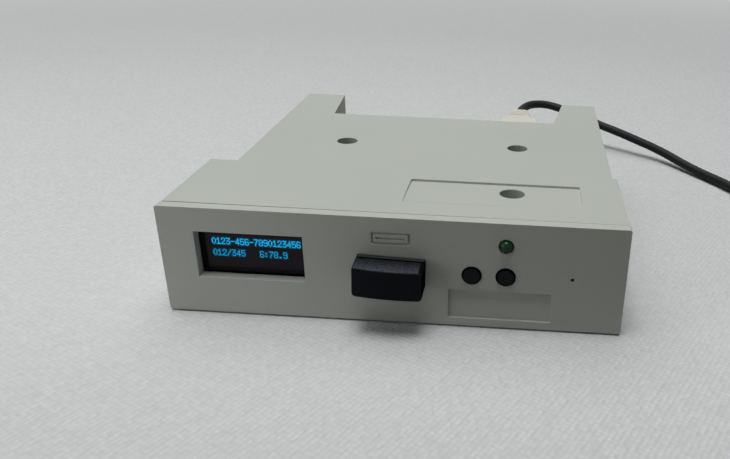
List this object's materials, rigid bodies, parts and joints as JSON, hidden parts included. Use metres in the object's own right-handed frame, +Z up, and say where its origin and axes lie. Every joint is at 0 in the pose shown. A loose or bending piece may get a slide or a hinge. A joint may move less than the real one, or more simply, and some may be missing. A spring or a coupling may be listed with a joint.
{
  "type": "floppy drive emulator",
  "caption": "Low flat drive-bay unit with a lit display, two push buttons, a lamp, a port with a stick in it, rear headers and a power lead.",
  "frame": {"origin": "on the surface it stands on, under the middle of the drive with its stick", "axes": "+X to the right seen from the front, +Y to the rear, +Z up"},
  "size_m": [0.2105, 0.1488, 0.0254],
  "materials": {
    "case_plastic": "fine matte moulded",
    "screw_steel": "zinc plated",
    "board_green": "solder mask",
    "display_black": "dark glass over a lit panel",
    "black_plastic": "moulded",
    "chip_black": "epoxy",
    "wire_sleeve": "satin",
    "plug_metal": "nickel plated",
    "lamp_green": "clear green epoxy",
    "button_black": "moulded",
    "stick_black": "grained top, smooth front",
    "cream_plastic": "natural nylon",
    "lead_black": "satin jacket"
  },
  "bodies": {
    "base": {"front_bezel": "case_plastic", "top_cover": "case_plastic", "bottom_cover": "case_plastic", "case_screw_left": "screw_steel", "case_screw_right": "screw_steel", "case_screw_front": "screw_steel", "main_board": "board_green", "display_board": "board_green", "display_glass": "display_black", "display_header": "black_plastic", "display_plug": "black_plastic", "display_wire_1": "wire_sleeve", "display_wire_2": "wire_sleeve", "display_wire_3": "wire_sleeve", "display_wire_4": "wire_sleeve", "usb_socket_shell": "plug_metal", "usb_socket_tongue": "black_plastic", "status_lamp": "lamp_green", "lamp_leg_left": "plug_metal", "lamp_leg_right": "plug_metal", "switch_body_left": "black_plastic", "switch_body_right": "black_plastic", "data_header": "black_plastic", "power_header": "cream_plastic", "jumper_header": "black_plastic", "jumper_cap_1": "black_plastic", "jumper_cap_2": "black_plastic", "processor_chip": "chip_black", "buffer_chip": "chip_black", "voltage_regulator": "chip_black", "crystal": "plug_metal", "capacitor_front": "plug_metal", "capacitor_rear": "plug_metal", "power_plug": "cream_plastic", "power_plug_relief": "cream_plastic", "power_lead": "lead_black", "power_lead_coil": "lead_black", "power_lead_tail": "lead_black", "coil_tie": "black_plastic", "far_plug_relief": "lead_black", "far_plug_body": "lead_black", "far_plug_shell": "plug_metal", "far_plug_insulator": "chip_black"},
    "left_button": {"button_left": "button_black"},
    "right_button": {"button_right": "button_black"},
    "stick": {"stick_cap": "stick_black", "stick_plug_shell": "plug_metal", "stick_plug_insulator": "chip_black"}
  },
  "joints": [
    {"name": "left_button_press", "type": "slide", "parent": "base", "child": "left_button", "axis": [0, 1, 0], "range_m": [0, 0.0004], "stiffness_N_per_m": 1000},
    {"name": "right_button_press", "type": "slide", "parent": "base", "child": "right_button", "axis": [0, 1, 0], "range_m": [0, 0.0004], "stiffness_N_per_m": 1000},
    {"name": "stick_pull", "type": "slide", "parent": "base", "child": "stick", "axis": [0, -1, 0], "range_m": [0, 0.0125]}
  ]
}
